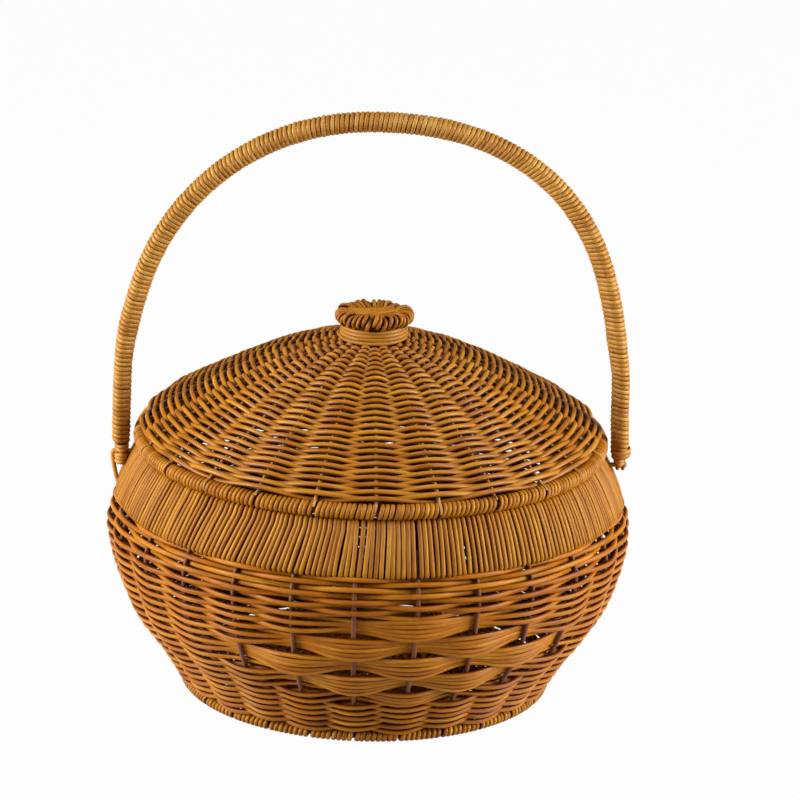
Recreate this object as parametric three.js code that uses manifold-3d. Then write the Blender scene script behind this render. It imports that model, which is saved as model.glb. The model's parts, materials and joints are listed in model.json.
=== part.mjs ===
// Lidded wicker storage basket with a swing handle, in millimetres, +Z up.
// The origin is on the floor at the centre of the foot. The diamond pattern faces -Y and the handle spans X.
import * as THREE from 'three';
import { mergeVertices } from 'three/addons/utils/BufferGeometryUtils.js';
import Module from 'manifold-3d';

const wasm = await Module();
wasm.setup();

// Overall size
const BASKET_WIDTH = 300;
const OVERALL_HEIGHT = 340;
const GAP = 0.3;
const COPLANAR = 0.005;

// Strands, stakes and rods
const STAKES = 26;
const STAKE_D = 2.6;
const STRAND_D = 2.8;
const PATTERN_AZIMUTH = THREE.MathUtils.degToRad(11.3);
const STAKE_STEP = (2 * Math.PI) / STAKES;

// Wall, as the radius of the stake circle at a few heights, or how far it is drawn in from the belly
const WALL_HALF = STAKE_D / 2 + STRAND_D;
const FOOT_RADIUS = 103.4;
const FOOT_Z = 4.5;
const HEEL_RADIUS = 116.4;
const HEEL_Z = 27;
const FLANK_DRAW = 10.5;
const FLANK_Z = 56;
const BELLY_RADIUS = BASKET_WIDTH / 2 - WALL_HALF;
const BELLY_Z = 93;
const SHOULDER_DRAW = 3.3;
const SHOULDER_Z = 111;
const THROAT_DRAW = 8.5;
const THROAT_Z = 126.5;
const MOUTH_DRAW = 14.9;
const MOUTH_RADIUS = BELLY_RADIUS - MOUTH_DRAW;
const MOUTH_Z = 138.8;

// Foot ring and base panel
const FOOT_TUBE_R = 3.2;
const FOOT_WRAP = 1.3;
const BASE_THICKNESS = 5.4;
const BASE_RISE = 1.2;
const BASE_CREST = 2;

// Weave zones, as heights on the stakes
const LOWER_TOP_Z = 26.4;
const COURSES = 5;
const COURSE_RISE = 12.55;
const COLLAR_FOOT_Z = 112.4;
const PATTERN_REACH = [1, 2, 3, 2, 1];
const COURSE_THICKNESS = 2.6;
const COURSE_CLEAR = 0.4;
const COURSE_STEPS = 4;

// Collar
const COLLAR_SKIN = 1.8;
const HOOP_D = 2.6;
const TOP_ROLL_R = 3.4;

// Lid
const RIBS = 24;
const RIB_D = 2.2;
const RIB_AZIMUTH = THREE.MathUtils.degToRad(2);
const LID_STRAND_D = 2.3;
const LID_HALF = RIB_D / 2 + LID_STRAND_D;
const LID_OVERHANG = 0.6;
const LID_RIM_RADIUS = MOUTH_RADIUS + LID_OVERHANG;
const LID_RIM_TUBE_R = 4.4;
const LID_RIM_WRAP = 1.6;
const LID_EDGE_INSET = 1.6;
const LID_EDGE_RADIUS = LID_RIM_RADIUS - LID_EDGE_INSET;
const LID_EDGE_Z = 152.6;
const LID_BEND_RUN = 12;
const LID_BEND_Z = 161.5;
const LID_MIDDLE_RADIUS = 73.5;
const LID_MIDDLE_Z = 186;
const LID_CROWN_RADIUS = 44;
const LID_CROWN_Z = 198.2;
const LID_NECK_Z = 205.3;

// Knob
const NECK_RADIUS = 18.9;
const NECK_STRAND_D = 1.9;
const NECK_TURNS = 3;
const NECK_PITCH = 2.4;
const BUTTON_RADIUS = 23.2;
const BUTTON_CORE_R = 1.7;
const BUTTON_STRAND_D = 2.2;
const BUTTON_TURNS = 23.75;
const BUTTON_DIP = 1.2;

// Handle
const HANDLE_ROOM = 7.24;
const HANDLE_SPRING_Z = 182;
const HANDLE_ROD_D = 3.3;
const HANDLE_WRAP = 1.3;
const HANDLE_TILT = THREE.MathUtils.degToRad(20);
const LEFT_ARCH_POWER = 2.06;
const RIGHT_ARCH_POWER = 2.28;
const PIVOT_Z = 134.5;
const EAR_D = 2.6;
const EAR_BEND_R = 2.2;
const EAR_FOOT_Z = 118;
const LOOP_STRAND_D = 2.2;
const LOOP_TURNS = 1.5;
const LOOP_PITCH = 3;

// Facets round the axis
const COLLAR_FACETS = 2 * STAKES;
const FOOT_FACETS = STAKES;
const RIM_FACETS = 1.5 * RIBS;
const KNOB_FACETS = 16;

const cane = (color, roughness) => new THREE.MeshStandardMaterial({ color, roughness, metalness: 0 });
const honey = () => cane(0xb9792b, 0.45);
const honeyDark = () => cane(0x99601f, 0.5);
const stakeBrown = () => cane(0x8a5a44, 0.6);
const coreBrown = () => cane(0x7d5140, 0.65);

const basket = new THREE.Group();
const root = new THREE.Group();
const handle = new THREE.Group();
const lid = new THREE.Group();
basket.add(root, handle, lid);

// Solids
function facingOut(geometry) {
  geometry.deleteAttribute('normal');
  geometry.deleteAttribute('uv');
  const solid = mergeVertices(geometry, 1e-4);
  const p = solid.attributes.position;
  const index = solid.index.array;
  const a = new THREE.Vector3();
  const b = new THREE.Vector3();
  const c = new THREE.Vector3();
  let volume = 0;
  const kept = [];
  for (let i = 0; i < index.length; i += 3) {
    if (index[i] === index[i + 1] || index[i + 1] === index[i + 2] || index[i] === index[i + 2]) continue;
    kept.push(index[i], index[i + 1], index[i + 2]);
    a.fromBufferAttribute(p, index[i]);
    b.fromBufferAttribute(p, index[i + 1]);
    c.fromBufferAttribute(p, index[i + 2]);
    volume += a.dot(b.cross(c));
  }
  if (volume < 0) kept.reverse();
  solid.setIndex(kept);
  return solid;
}

function toManifold(geometry) {
  const solid = facingOut(geometry);
  const vertProperties = new Float32Array(solid.attributes.position.array);
  const triVerts = new Uint32Array(solid.index.array);
  return new wasm.Manifold(new wasm.Mesh({ numProp: 3, vertProperties, triVerts }));
}

function toGeometry(manifold) {
  const mesh = manifold.asOriginal().simplify(COPLANAR).getMesh();
  const geometry = new THREE.BufferGeometry();
  geometry.setAttribute('position', new THREE.BufferAttribute(new Float32Array(mesh.vertProperties), 3));
  geometry.setIndex(Array.from(mesh.triVerts));
  return geometry;
}

function cut(geometry, tools) {
  const solid = toManifold(geometry);
  return toGeometry(tools.reduce((left, tool) => left.subtract(tool), solid));
}

function fuse(geometries) {
  return toGeometry(geometries.map(toManifold).reduce((sum, next) => sum.add(next)));
}

function addPiece(group, name, geometry, material) {
  const solid = facingOut(geometry);
  solid.computeVertexNormals();
  const mesh = new THREE.Mesh(solid, material);
  mesh.name = name;
  group.add(mesh);
  return mesh;
}

// Surfaces from rings of points that run along a path, with flat ends or closed on themselves
function loft(rings, closed = false) {
  const sides = rings[0].length;
  const positions = rings.flat().flatMap((v) => [v.x, v.y, v.z]);
  const index = [];
  const spans = closed ? rings.length : rings.length - 1;
  for (let i = 0; i < spans; i += 1) {
    const here = i * sides;
    const next = ((i + 1) % rings.length) * sides;
    for (let j = 0; j < sides; j += 1) {
      const k = (j + 1) % sides;
      index.push(here + j, next + j, next + k, here + j, next + k, here + k);
    }
  }
  if (!closed) {
    const last = (rings.length - 1) * sides;
    for (let j = 1; j < sides - 1; j += 1) {
      index.push(0, j, j + 1);
      index.push(last, last + j + 1, last + j);
    }
  }
  const geometry = new THREE.BufferGeometry();
  geometry.setAttribute('position', new THREE.Float32BufferAttribute(positions, 3));
  geometry.setIndex(index);
  return geometry;
}

function roundShape(radius, sides) {
  const points = [];
  for (let i = 0; i < sides; i += 1) {
    const a = (2 * Math.PI * (i + 0.5)) / sides;
    points.push(new THREE.Vector2(radius * Math.cos(a), radius * Math.sin(a)));
  }
  return new THREE.Shape(points);
}

// A path straight from point to point, so that nested pieces bend at the same places.
// Where it lies in one plane, side is that plane's normal and keeps the section square to it.
class Route extends THREE.Curve {
  constructor(points, side = null) {
    super();
    this.points = points;
    this.side = side;
  }

  getPoint(t) {
    const last = this.points.length - 1;
    const i = Math.min(Math.floor(t * last), last - 1);
    return this.points[i].clone().lerp(this.points[i + 1], t * last - i);
  }

  getPointAt(t) {
    return this.getPoint(t);
  }

  getTangentAt(t, target) {
    return this.getTangent(t, target);
  }

  computeFrenetFrames(segments, closed) {
    const frames = super.computeFrenetFrames(segments, closed);
    if (this.side) {
      frames.normals = frames.tangents.map(() => this.side.clone());
      frames.binormals = frames.tangents.map((tangent) => tangent.clone().cross(this.side));
    }
    return frames;
  }
}

function sweep(shape, extrudePath) {
  const steps = extrudePath.points.length - 1;
  return new THREE.ExtrudeGeometry(shape, { steps, extrudePath, bevelEnabled: false });
}

function rod(points, radius, sides, side) {
  return sweep(roundShape(radius, sides), new Route(points, side));
}

// Least distance between the surfaces of two stretches of one strand that lie apart along it
function report(name, corners, diameter) {
  const route = new THREE.CurvePath();
  for (let i = 1; i < corners.length; i += 1) route.add(new THREE.LineCurve3(corners[i - 1], corners[i]));
  const count = Math.ceil(route.getLength() / (diameter / 4));
  const line = route.getSpacedPoints(count);
  const apart = Math.ceil((3 * diameter) / (route.getLength() / count));
  let least = Infinity;
  for (let i = 0; i < line.length; i += 1) {
    for (let j = i + apart; j < line.length; j += 1) {
      least = Math.min(least, line[i].distanceTo(line[j]) - diameter);
    }
  }
  console.log(`least gap of ${name} to itself: ${least.toFixed(2)} mm`);
}

function revolve(points, segments, start = PATTERN_AZIMUTH) {
  const loop = points.concat([points[0].clone()]);
  return new THREE.LatheGeometry(loop, segments, start).rotateX(Math.PI / 2);
}

function arc(centre, radius, from, to, steps) {
  const points = [];
  for (let i = 0; i <= steps; i += 1) {
    const a = steps ? from + ((to - from) * i) / steps : from;
    points.push(new THREE.Vector2(centre.x + radius * Math.cos(a), centre.y + radius * Math.sin(a)));
  }
  return points;
}

function ringTube(radius, z, tubeRadius, sides, segments, start) {
  const turn = Math.PI / sides;
  const points = arc(new THREE.Vector2(radius, z), tubeRadius, turn, 2 * Math.PI - turn, sides - 1);
  return revolve(points, segments, start);
}

function around(azimuth, radius, z) {
  return new THREE.Vector3(radius * Math.sin(azimuth), -radius * Math.cos(azimuth), z);
}

function sideways(azimuth) {
  return new THREE.Vector3(Math.cos(azimuth), Math.sin(azimuth), 0);
}

// A profile line that gives the point at a height or radius, moved out along its normal
class Profile {
  constructor(points) {
    this.samples = new THREE.SplineCurve(points).getPoints(240);
  }

  at(t, axis) {
    const s = this.samples;
    const sign = s[s.length - 1][axis] > s[0][axis] ? 1 : -1;
    let i = 0;
    while (i < s.length - 2 && sign * s[i + 1][axis] < sign * t) i += 1;
    const share = (t - s[i][axis]) / (s[i + 1][axis] - s[i][axis]);
    const point = s[i].clone().lerp(s[i + 1], share);
    const along = s[i + 1].clone().sub(s[i]).normalize();
    return { point, normal: new THREE.Vector2(along.y, -along.x) };
  }

  offset(t, axis, distance) {
    const { point, normal } = this.at(t, axis);
    return point.addScaledVector(normal, distance);
  }
}

const wall = new Profile([
  new THREE.Vector2(FOOT_RADIUS, FOOT_Z),
  new THREE.Vector2(HEEL_RADIUS, HEEL_Z),
  new THREE.Vector2(BELLY_RADIUS - FLANK_DRAW, FLANK_Z),
  new THREE.Vector2(BELLY_RADIUS, BELLY_Z),
  new THREE.Vector2(BELLY_RADIUS - SHOULDER_DRAW, SHOULDER_Z),
  new THREE.Vector2(BELLY_RADIUS - THROAT_DRAW, THROAT_Z),
  new THREE.Vector2(MOUTH_RADIUS, MOUTH_Z),
]);

const NECK_CORE_R = NECK_RADIUS - NECK_STRAND_D - GAP;
const dome = new Profile([
  new THREE.Vector2(LID_EDGE_RADIUS, LID_EDGE_Z),
  new THREE.Vector2(LID_EDGE_RADIUS - LID_BEND_RUN, LID_BEND_Z),
  new THREE.Vector2(LID_MIDDLE_RADIUS, LID_MIDDLE_Z),
  new THREE.Vector2(LID_CROWN_RADIUS, LID_CROWN_Z),
  new THREE.Vector2(NECK_CORE_R, LID_NECK_Z),
]);

function levels(from, to, steps) {
  return Array.from({ length: steps + 1 }, (_, i) => from + ((to - from) * i) / steps);
}

// A closed strip between two offsets of a profile
function band(profile, axis, stations, outer, inner) {
  const outside = stations.map((t) => profile.offset(t, axis, outer));
  const inside = stations.map((t) => profile.offset(t, axis, inner)).reverse();
  return outside.concat(inside);
}

// A woven ring, thick where its strands ride over stakes or ribs and one strand thick between them
function wovenRing(profile, axis, stations, start, count, crest, dip) {
  const rings = Array.from({ length: 2 * count }, (_, i) => {
    const half = i % 2 === 0 ? crest : dip;
    const azimuth = start + (i * Math.PI) / count;
    return band(profile, axis, stations, half, -half).map((p) => around(azimuth, p.x, p.y));
  });
  return loft(rings, true);
}

// Stakes, which stand on the foot ring and run up into the collar
const PATTERN_TOP_Z = LOWER_TOP_Z + COURSES * COURSE_RISE;
const FOOT_MIDDLE_Z = FOOT_TUBE_R * Math.cos(Math.PI / 6);
const STAKE_FOOT_Z = FOOT_MIDDLE_Z * 2 + GAP + STAKE_D * 0.3;
const courseLevels = levels(LOWER_TOP_Z, PATTERN_TOP_Z, COURSES);
const stakeLevels = [STAKE_FOOT_Z, ...courseLevels, COLLAR_FOOT_Z, THROAT_Z];
const passLevels = [STAKE_FOOT_Z - 4, ...courseLevels, COLLAR_FOOT_Z, THROAT_Z];

function stakeRod(i, heights, clear) {
  const azimuth = PATTERN_AZIMUTH + i * STAKE_STEP;
  const line = heights.map((z) => {
    const { point } = wall.at(z, 'y');
    return around(azimuth, point.x, point.y);
  });
  return rod(line, (STAKE_D / 2 + clear) * Math.SQRT2, 4, sideways(azimuth));
}

function buildStakes() {
  for (let i = 0; i < STAKES; i += 1) {
    const name = `stake_${String(i + 1).padStart(2, '0')}`;
    addPiece(root, name, stakeRod(i, stakeLevels, 0), stakeBrown());
  }
}

// Foot: a wrapped ring with its core, open in a thin slit on the inside, and the base panel
function wrappedRing(centre, outer, wrap, slit, segments, start) {
  const half = GAP / outer;
  const turn = (r, from, to, steps) => arc(centre, r, slit + from, slit + to, steps);
  const end = 2 * Math.PI - half;
  const outside = [
    ...turn(outer, half, half, 0), ...turn(outer, Math.PI / 3, (5 * Math.PI) / 3, 4), ...turn(outer, end, end, 0),
  ];
  const inside = turn(outer - wrap, end, half, 4);
  return revolve(outside.concat(inside), segments, start);
}

function wrappedCoreRadius(outer, wrap) {
  return (outer - wrap) * Math.cos(Math.PI / 4) - GAP;
}

function buildFoot() {
  const centre = new THREE.Vector2(FOOT_RADIUS, FOOT_MIDDLE_Z);
  const wrap = wrappedRing(centre, FOOT_TUBE_R, FOOT_WRAP, Math.PI, FOOT_FACETS, PATTERN_AZIMUTH);
  addPiece(root, 'foot_ring_wrap', wrap, honeyDark());
  const coreR = wrappedCoreRadius(FOOT_TUBE_R, FOOT_WRAP);
  addPiece(root, 'foot_ring_core', ringTube(centre.x, centre.y, coreR, 4, FOOT_FACETS), coreBrown());
  const edge = FOOT_RADIUS - FOOT_TUBE_R - GAP;
  const line = levels(0, 1, 2).map((share) => {
    const rise = BASE_RISE + BASE_CREST * Math.cos((share * Math.PI) / 2);
    return new THREE.Vector2(edge * share, rise);
  });
  const top = line.map((p) => new THREE.Vector2(p.x, p.y + BASE_THICKNESS)).reverse();
  const panel = new THREE.LatheGeometry(line.concat(top), FOOT_FACETS, PATTERN_AZIMUTH);
  addPiece(root, 'base_weave', panel.rotateX(Math.PI / 2), honeyDark());
}

// Diamond pattern: wide courses that pass in turn over and under the stakes
function courseSpan(i) {
  const bottom = courseLevels[COURSES - 1 - i];
  return { top: bottom + COURSE_RISE, bottom, half: (PATTERN_REACH[i] + 0.5) * STAKE_STEP };
}

function windowBlock(i) {
  const { top, bottom, half } = courseSpan(i);
  const low = bottom - (i === COURSES - 1 ? WALL_HALF : GAP);
  const high = top + (i === 0 ? WALL_HALF : GAP);
  const corners = [[low, 3], [high, 3], [high, -3], [low, -3]];
  const rings = levels(-half, half, 4 * PATTERN_REACH[i] + 2).map((angle) => corners.map(([z, side]) => {
    const point = wall.offset(z, 'y', side * WALL_HALF);
    return around(PATTERN_AZIMUTH + angle, point.x, point.y);
  }));
  return toManifold(loft(rings));
}

function courseBand(i) {
  const { top, bottom, half } = courseSpan(i);
  const reach = half - GAP / BELLY_RADIUS;
  const steps = (2 * PATTERN_REACH[i] + 1) * COURSE_STEPS;
  const swing = STAKE_D / 2 + COURSE_CLEAR + COURSE_THICKNESS / 2;
  const first = i % 2 === 0 ? 1 : -1;
  const corners = [[bottom + GAP / 2, 1], [top - GAP / 2, 1], [top - GAP / 2, -1], [bottom + GAP / 2, -1]];
  const rings = levels(-reach, reach, steps).map((angle) => {
    const sway = first * swing * Math.cos((Math.PI * angle) / STAKE_STEP);
    return corners.map(([z, side]) => {
      const point = wall.offset(z, 'y', sway + (side * COURSE_THICKNESS) / 2);
      return around(PATTERN_AZIMUTH + angle, point.x, point.y);
    });
  });
  return loft(rings);
}

// Woven wall: three zones pierced by the stakes, the middle one open where the pattern sits
function buildWall() {
  const tunnels = Array.from({ length: STAKES }, (_, i) => toManifold(stakeRod(i, passLevels, GAP)));
  const windows = courseLevels.slice(1).map((_, i) => windowBlock(i));
  const lower = levels(STAKE_FOOT_Z + GAP, LOWER_TOP_Z - GAP, 1);
  const upper = levels(PATTERN_TOP_Z + GAP, COLLAR_FOOT_Z - GAP, 2);
  const dip = STRAND_D / 2;
  const zone = (stations) => wovenRing(wall, 'y', stations, PATTERN_AZIMUTH, STAKES, WALL_HALF, dip);
  addPiece(root, 'lower_weave', cut(zone(lower), tunnels), honey());
  addPiece(root, 'middle_weave', cut(zone(courseLevels), [...windows, ...tunnels]), honey());
  addPiece(root, 'upper_weave', cut(zone(upper), tunnels), honey());
  for (let i = 0; i < COURSES; i += 1) {
    addPiece(root, `pattern_course_${i + 1}`, courseBand(i), honey());
  }
}

// Collar: two hoops bound between an outer and an inner skin of upright wrapping
function buildCollar() {
  const roll = new THREE.Vector2(MOUTH_RADIUS, MOUTH_Z);
  const stations = [COLLAR_FOOT_Z, THROAT_Z, MOUTH_Z - TOP_ROLL_R];
  const split = GAP / TOP_ROLL_R;
  const skinFace = STAKE_D / 2 + GAP;
  const outer = band(wall, 'y', stations, skinFace + COLLAR_SKIN, skinFace);
  const outerBend = arc(roll, TOP_ROLL_R, 0.4, Math.PI / 2 - split, 1);
  const innerBend = arc(roll, TOP_ROLL_R - COLLAR_SKIN, Math.PI / 2 - split, 0.4, 1);
  outer.splice(3, 0, ...outerBend, ...innerBend);
  addPiece(root, 'collar_outer_wrap', revolve(outer, COLLAR_FACETS), honey());

  const hoopOffset = -(skinFace + HOOP_D / 2);
  const backFace = hoopOffset - HOOP_D / 2 - GAP;
  const inner = band(wall, 'y', stations, backFace, backFace - COLLAR_SKIN);
  const backBend = arc(roll, TOP_ROLL_R - COLLAR_SKIN, Math.PI * 0.85, Math.PI / 2 + split, 1);
  const frontBend = arc(roll, TOP_ROLL_R, Math.PI / 2 + split, Math.PI * 0.85, 1);
  inner.splice(3, 0, ...backBend, ...frontBend);
  addPiece(root, 'collar_inner_wrap', revolve(inner, STAKES), honey());

  const bottom = wall.offset(COLLAR_FOOT_Z + HOOP_D / 2, 'y', hoopOffset);
  addPiece(root, 'collar_bottom_hoop', ringTube(bottom.x, bottom.y, HOOP_D / 2, 4, STAKES), coreBrown());
  const topR = TOP_ROLL_R - COLLAR_SKIN - GAP;
  addPiece(root, 'collar_top_hoop', ringTube(roll.x, roll.y, topR, 4, STAKES), coreBrown());
}

// Ears on the collar and the handle's end loops that turn on them
const COLLAR_FACE = wall.offset(PIVOT_Z, 'y', STAKE_D / 2 + GAP + COLLAR_SKIN).x;
const HANDLE_HALF_SPAN = Math.max(COLLAR_FACE, LID_RIM_RADIUS + LID_RIM_TUBE_R) + HANDLE_ROOM;
const LOOP_REACH = (LOOP_PITCH * LOOP_TURNS) / 2;
const EAR_REACH = HANDLE_HALF_SPAN + LOOP_REACH + LOOP_STRAND_D / 2 + GAP + EAR_D;
const LOOP_R = EAR_D / 2 + GAP + LOOP_STRAND_D / 2;
const HANDLE_FOOT_Z = PIVOT_Z + LOOP_R + LOOP_STRAND_D / 2 + GAP;

function earPoints(side) {
  const seat = GAP + EAR_D / 2;
  const skin = STAKE_D / 2 + GAP + COLLAR_SKIN;
  const foot = wall.offset(EAR_FOOT_Z, 'y', skin).x;
  const bend = new THREE.Vector2(EAR_REACH - EAR_D / 2 - EAR_BEND_R, PIVOT_Z - EAR_BEND_R);
  const line = [
    new THREE.Vector2(COLLAR_FACE + seat, PIVOT_Z),
    ...arc(bend, EAR_BEND_R, Math.PI / 2, 0, 2),
    new THREE.Vector2(foot + seat, EAR_FOOT_Z),
  ];
  return line.map((p) => new THREE.Vector3(side * p.x, 0, p.y));
}

function loopPoints(side) {
  const start = HANDLE_HALF_SPAN - LOOP_REACH;
  const stemTop = HANDLE_FOOT_Z - GAP;
  const points = levels(0, LOOP_TURNS, LOOP_TURNS * 8).map((turn) => {
    const a = -2 * Math.PI * turn;
    const x = side * (start + LOOP_PITCH * turn);
    return new THREE.Vector3(x, LOOP_R * Math.cos(a), PIVOT_Z + LOOP_R * Math.sin(a));
  });
  points.unshift(points[0].clone().setZ(stemTop));
  points.push(points[points.length - 1].clone().setZ(stemTop));
  return points;
}

function buildPivots() {
  for (const [side, word] of [[-1, 'left'], [1, 'right']]) {
    addPiece(root, `ear_${word}`, rod(earPoints(side), EAR_D / 2, 6, new THREE.Vector3(0, 1, 0)), honey());
    const loop = loopPoints(side);
    report(`handle loop ${word}`, loop, LOOP_STRAND_D);
    addPiece(handle, `handle_loop_${word}`, rod(loop, LOOP_STRAND_D / 2, 6), honey());
  }
}

// Handle: three rods bound side by side by one long wrapping, in an arch on straight legs
function rodCentre(i) {
  const reach = (HANDLE_ROD_D / 2 + GAP / 2) / Math.cos(Math.PI / 6);
  const a = HANDLE_TILT - Math.PI / 2 + (i * 2 * Math.PI) / 3;
  return new THREE.Vector2(reach * Math.cos(a), reach * Math.sin(a));
}

function archRoute(foot) {
  const reach = Math.max(...bundleSection(GAP + HANDLE_WRAP).map((p) => p.x));
  const rise = OVERALL_HEIGHT - reach - HANDLE_SPRING_Z;
  const points = [new THREE.Vector3(-HANDLE_HALF_SPAN, 0, foot)];
  for (const angle of levels(Math.PI, 0, 20)) {
    const power = 2 / (Math.cos(angle) > 0 ? RIGHT_ARCH_POWER : LEFT_ARCH_POWER);
    const x = HANDLE_HALF_SPAN * Math.sign(Math.cos(angle)) * Math.abs(Math.cos(angle)) ** power;
    const z = HANDLE_SPRING_Z + rise * Math.abs(Math.sin(angle)) ** power;
    points.push(new THREE.Vector3(x, 0, z));
  }
  points.push(new THREE.Vector3(HANDLE_HALF_SPAN, 0, foot));
  return new Route(points, new THREE.Vector3(0, 1, 0));
}

// Sections are drawn with x out from the arch and y to the back, and swept along it
function sweepArch(section, foot) {
  return sweep(new THREE.Shape(section.map((p) => new THREE.Vector2(p.y, p.x))), archRoute(foot));
}

function bundleSection(clear) {
  const radius = (HANDLE_ROD_D / 2 + clear) / Math.cos(Math.PI / 6);
  return [0, 1, 2].flatMap((i) => {
    const middle = HANDLE_TILT - Math.PI / 2 + (i * 2 * Math.PI) / 3;
    return arc(rodCentre(i), radius, middle - Math.PI / 3, middle + Math.PI / 3, 2);
  });
}

function buildHandle() {
  const names = ['handle_rod_front', 'handle_rod_outer', 'handle_rod_inner'];
  names.forEach((name, i) => {
    const section = arc(rodCentre(i), HANDLE_ROD_D / 2, 0.3, 0.3 + 1.5 * Math.PI, 3);
    addPiece(handle, name, sweepArch(section, HANDLE_FOOT_Z), coreBrown());
  });
  const outside = sweepArch(bundleSection(GAP + HANDLE_WRAP), HANDLE_FOOT_Z);
  const hollow = sweepArch(bundleSection(GAP), HANDLE_FOOT_Z - 2);
  addPiece(handle, 'handle_wrap', cut(outside, [toManifold(hollow)]), honey());
}

// Lid: ribs from the hub to the rim, the woven dome they pierce, and the wrapped rim
const SEAT_REACH = TOP_ROLL_R + LID_RIM_TUBE_R + GAP;
const LID_RIM_Z = MOUTH_Z + Math.sqrt(SEAT_REACH ** 2 - (LID_RIM_RADIUS - MOUTH_RADIUS) ** 2);
const HUB_TOP_Z = LID_NECK_Z + RIB_D / 2;

function ribRod(azimuth, line, clear) {
  const points = line.map((p) => around(azimuth, p.x, p.y));
  return rod(points, (RIB_D / 2 + clear) * Math.SQRT2, 4, sideways(azimuth));
}

function buildLid() {
  const inner = NECK_CORE_R + GAP + 0.4;
  const line = levels(inner, LID_EDGE_RADIUS, 3).map((r) => dome.at(r, 'x').point);
  line.unshift(new THREE.Vector2(NECK_CORE_R - 3, LID_NECK_Z));
  const over = LID_RIM_TUBE_R + 2 * GAP + RIB_D / 2;
  const end = arc(new THREE.Vector2(LID_RIM_RADIUS, LID_RIM_Z), over, Math.PI / 2 - 0.45, 0, 0);
  const past = dome.at(LID_EDGE_RADIUS + 4, 'x').point;
  const ribs = [];
  const tunnels = [];
  for (let i = 0; i < RIBS; i += 1) {
    const azimuth = RIB_AZIMUTH + (i * 2 * Math.PI) / RIBS;
    ribs.push(ribRod(azimuth, [...line, ...end], 0));
    tunnels.push(toManifold(ribRod(azimuth, [...line, past], GAP)));
  }
  const hub = new THREE.CylinderGeometry(NECK_CORE_R, NECK_CORE_R, RIB_D, RIBS, 1).rotateX(Math.PI / 2);
  addPiece(lid, 'lid_ribs', fuse([hub.translate(0, 0, LID_NECK_Z), ...ribs]), honeyDark());
  const rings = levels(LID_EDGE_RADIUS, inner, 3);
  const shell = wovenRing(dome, 'x', rings, RIB_AZIMUTH, RIBS, LID_HALF, LID_STRAND_D / 2);
  addPiece(lid, 'lid_weave', cut(shell, tunnels), honey());

  const centre = new THREE.Vector2(LID_RIM_RADIUS, LID_RIM_Z);
  const slit = Math.PI * 0.8;
  const wrap = wrappedRing(centre, LID_RIM_TUBE_R, LID_RIM_WRAP, slit, RIM_FACETS, RIB_AZIMUTH);
  addPiece(lid, 'lid_rim_wrap', wrap, honey());
  const coreR = wrappedCoreRadius(LID_RIM_TUBE_R, LID_RIM_WRAP);
  const core = ringTube(centre.x, centre.y, coreR, 4, RIM_FACETS, RIB_AZIMUTH);
  addPiece(lid, 'lid_rim_core', core, coreBrown());
}

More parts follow.
